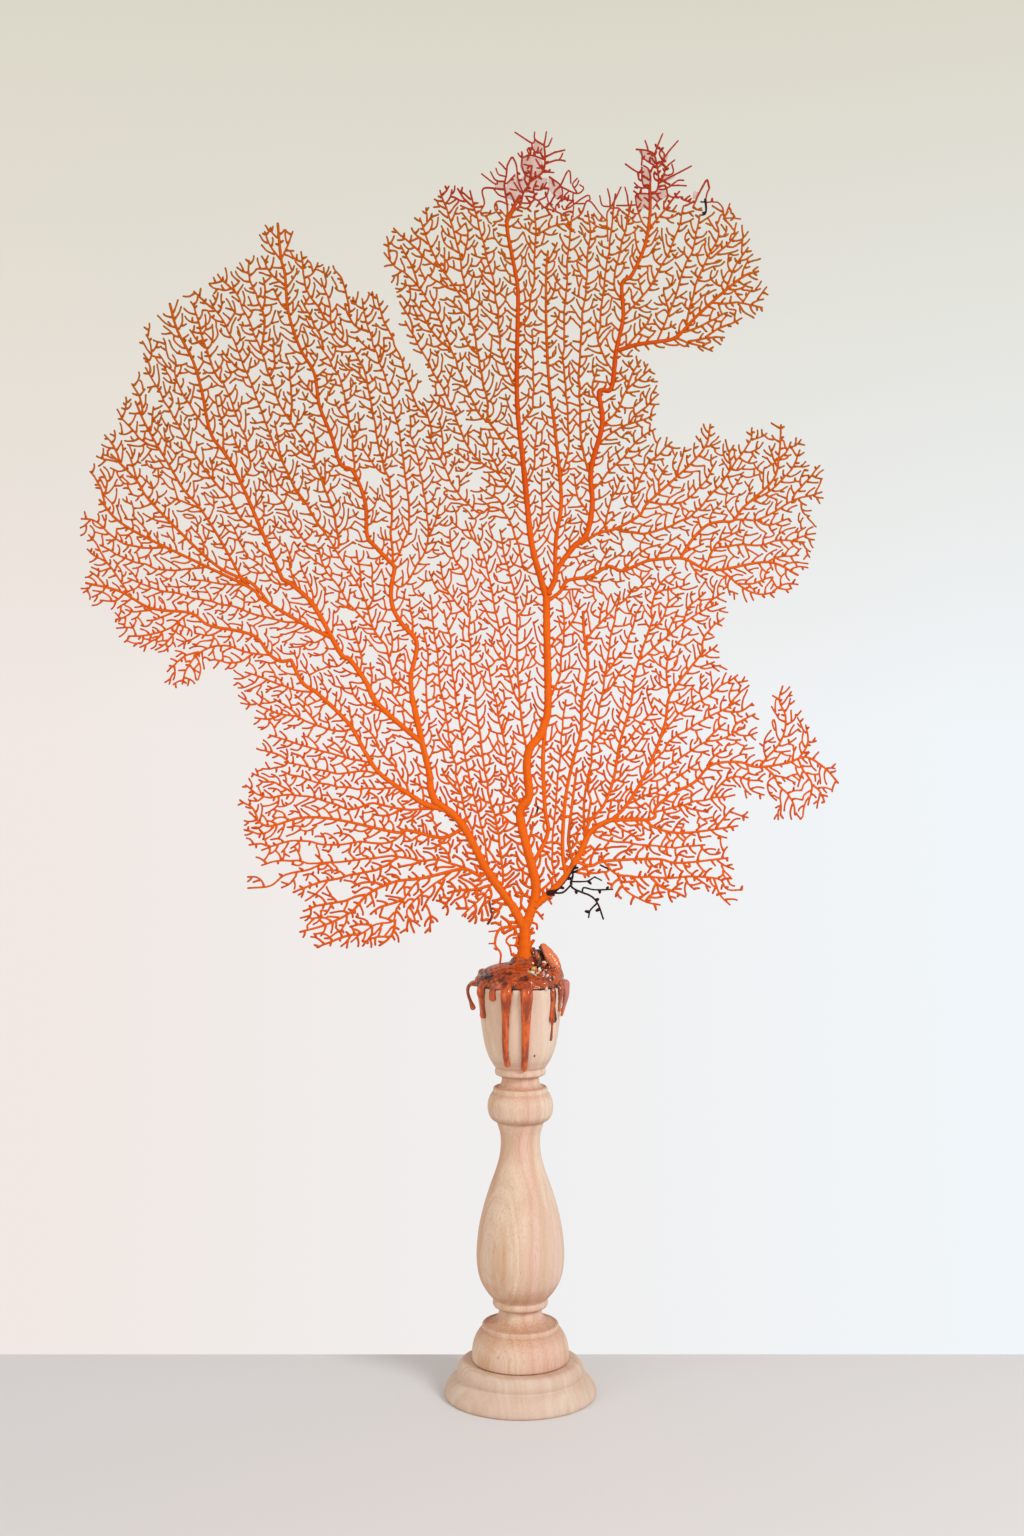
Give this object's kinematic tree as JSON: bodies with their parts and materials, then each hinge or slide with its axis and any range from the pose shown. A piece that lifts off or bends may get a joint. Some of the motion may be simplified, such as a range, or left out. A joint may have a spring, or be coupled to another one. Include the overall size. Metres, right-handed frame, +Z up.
{
  "type": "dried sea fan on a turned wooden candlestick",
  "caption": "Flat dried sea fan, its foot set with wax in the cup of a turned wooden candlestick that stands on a round stepped base.",
  "frame": {"origin": "middle of the candlestick's flat underside", "axes": "+Z up along the candlestick, +Y through the fan from its front to its back, +X to the right as the front is seen"},
  "size_m": [0.382, 0.076, 0.6323],
  "materials": {
    "wood": "raw, sanded",
    "wax": "glossy poured wax",
    "holdfast": "gritty, waxed in places",
    "coral": "dry, slightly rough"
  },
  "bodies": {
    "root": {"base": "wood", "column": "wood", "wax": "wax", "holdfast": "holdfast", "trunk": "coral", "left_stem": "coral", "left_low": "coral", "left_mid": "coral", "left_reach": "coral", "left_outer": "coral", "left_long": "coral", "left_inner": "coral", "centre_left": "coral", "centre_stem": "coral", "top_left": "coral", "top_right": "coral", "overhang": "coral", "right_middle": "coral", "right_rays": "coral", "right_outer": "coral", "right_low": "coral"}
  },
  "joints": []
}
